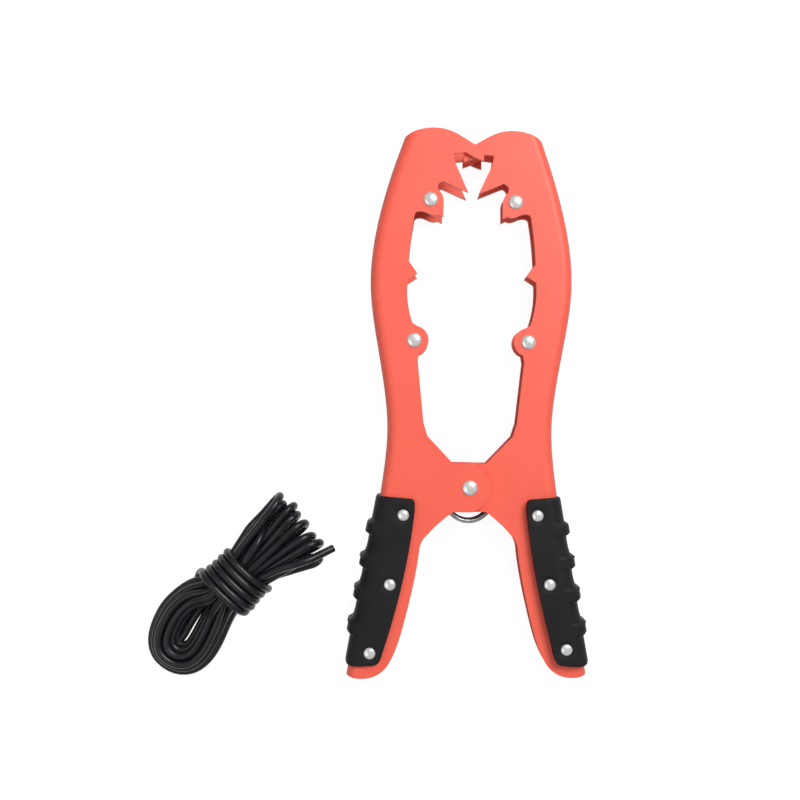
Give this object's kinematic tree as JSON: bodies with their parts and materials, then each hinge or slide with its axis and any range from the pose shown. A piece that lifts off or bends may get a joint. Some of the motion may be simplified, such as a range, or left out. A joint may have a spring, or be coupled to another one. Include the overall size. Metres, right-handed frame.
{
  "type": "lip grip",
  "caption": "Spring-closed toothed gripping pliers with nested folded-steel arms, riveted rubber handle grips and a tied hank of tether cord.",
  "frame": {"origin": "under the middle of the tool's outline without its tether, level with the backs of the grips that it lies on", "axes": "+Y along the tool towards the jaws, +Z out of the front face, +X to the right arm seen from the front with the jaws up"},
  "size_m": [0.2121, 0.2641, 0.0256],
  "materials": {
    "coral_paint": "satin powder coat",
    "grip_rubber": "matt moulded rubber",
    "rivet_steel": "bright pressed",
    "spacer_steel": "turned",
    "washer_nylon": "natural nylon",
    "spring_wire": "zinc plated wire",
    "cord_jacket": "smooth black jacket"
  },
  "bodies": {
    "outer_arm": {"left_arm": "coral_paint", "left_grip": "grip_rubber", "pivot_rivet": "rivet_steel", "pivot_burr": "rivet_steel", "pivot_sleeve": "spacer_steel", "pivot_washer_back": "washer_nylon", "pivot_washer_front": "washer_nylon", "left_jaw_rivet_upper": "rivet_steel", "left_jaw_spacer_upper": "spacer_steel", "left_jaw_rivet_lower": "rivet_steel", "left_jaw_spacer_lower": "spacer_steel", "left_grip_rivets": "rivet_steel", "left_grip_spacers": "spacer_steel", "left_grip_burrs": "rivet_steel", "torsion_spring": "spring_wire"},
    "inner_arm": {"right_arm": "coral_paint", "right_grip": "grip_rubber", "right_jaw_rivet_upper": "rivet_steel", "right_jaw_spacer_upper": "spacer_steel", "right_jaw_rivet_lower": "rivet_steel", "right_jaw_spacer_lower": "spacer_steel", "right_grip_rivets": "rivet_steel", "right_grip_spacers": "spacer_steel", "right_grip_burrs": "rivet_steel"},
    "tether": {"cord_hank": "cord_jacket", "cord_end": "cord_jacket"}
  },
  "joints": [
    {"name": "jaw_hinge", "type": "hinge", "parent": "outer_arm", "child": "inner_arm", "pos_m": [0, -0.04045, 0.0122], "axis": [0, 0, -1], "range_deg": [0, 42], "stiffness_Nm_per_rad": 1.2, "springref_deg": -28.65, "deforming": ["torsion_spring"]},
    {"name": "tether_lift", "type": "slide", "parent": "outer_arm", "child": "tether", "axis": [0, 0, 1], "range_m": [0, 0.06]}
  ]
}
